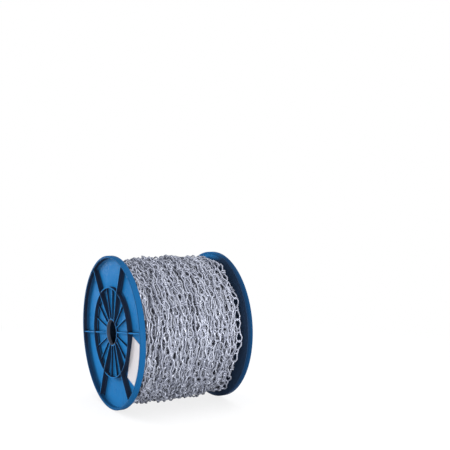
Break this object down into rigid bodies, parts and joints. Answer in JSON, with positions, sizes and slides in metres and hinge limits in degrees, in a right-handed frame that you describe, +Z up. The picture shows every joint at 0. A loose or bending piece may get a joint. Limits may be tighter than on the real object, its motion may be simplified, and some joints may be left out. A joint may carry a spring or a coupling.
{
  "type": "reel of steel chain",
  "caption": "Moulded plastic reel with ribbed flanges, wound full of bright knotted double-loop steel chain, with a blank paper label on a flange.",
  "frame": {"origin": "on the floor, under the middle of the reel as it lies on its rims", "axes": "+X along the reel's axle, from the labelled flange to the plain one; +Z up"},
  "size_m": [0.1584, 0.2, 0.2],
  "materials": {
    "flange_plastic": "moulded blue plastic, smooth with a soft gloss",
    "chain_steel": "bright zinc plated steel wire",
    "label_paper": "matt white label paper, blank"
  },
  "bodies": {
    "root": {"near_flange": "flange_plastic", "far_flange": "flange_plastic", "core_tube": "flange_plastic", "chain_core": "chain_steel", "chain_outer_layer": "chain_steel", "label": "label_paper"}
  },
  "joints": []
}
